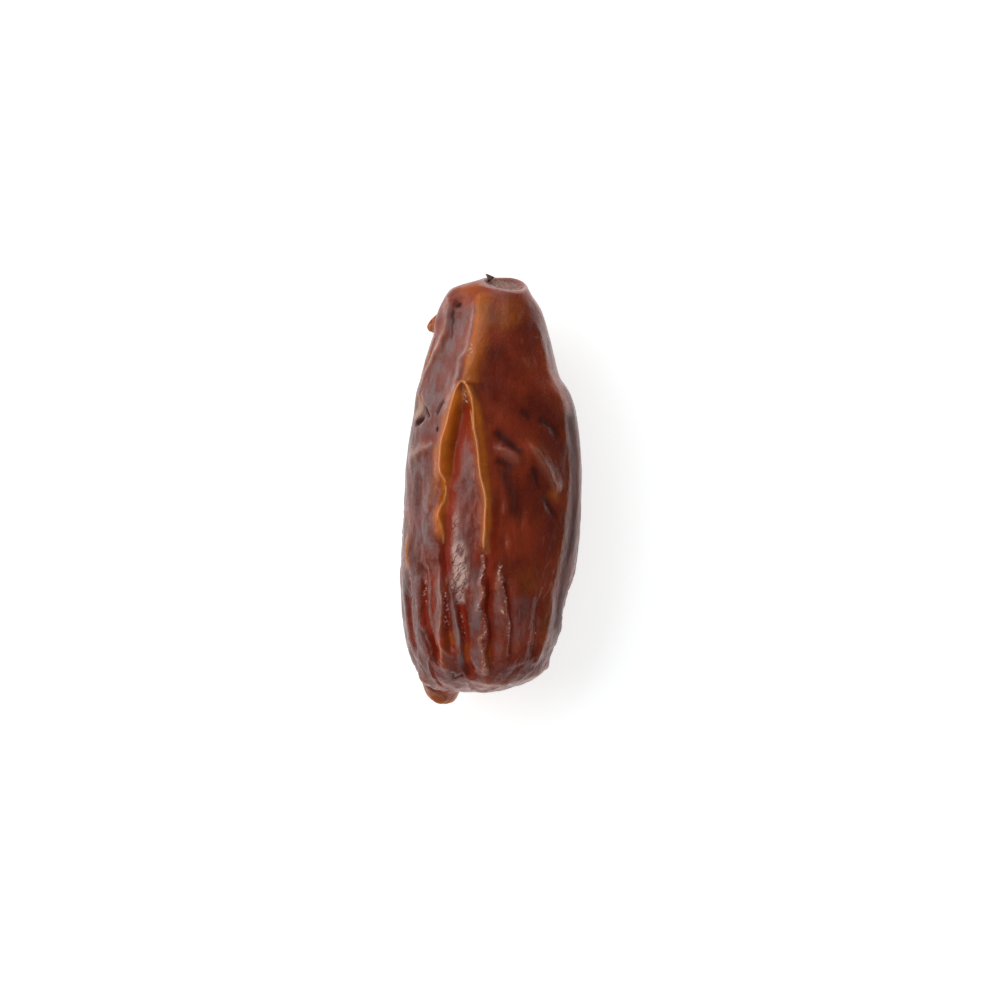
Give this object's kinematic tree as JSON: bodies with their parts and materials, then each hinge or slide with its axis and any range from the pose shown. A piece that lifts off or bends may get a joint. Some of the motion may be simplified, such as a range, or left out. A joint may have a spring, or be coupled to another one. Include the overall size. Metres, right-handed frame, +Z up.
{
  "type": "dried date fruit",
  "caption": "Whole dried date of the Deglet Nour variety, lying on its side: long, blunt and pleated, with a forked fold on its back and a round stem scar.",
  "frame": {"origin": "on the surface that the date lies on, under the middle of its bounding box", "axes": "+X to the right seen from above, +Y along the fruit to the stem end, +Z up"},
  "size_m": [0.0179, 0.0422, 0.0161],
  "materials": {
    "skin": "thin, sticky, glossy fruit skin over translucent flesh: deep red-brown, amber where a fold is thin"
  },
  "bodies": {
    "root": {"date": "skin"}
  },
  "joints": []
}
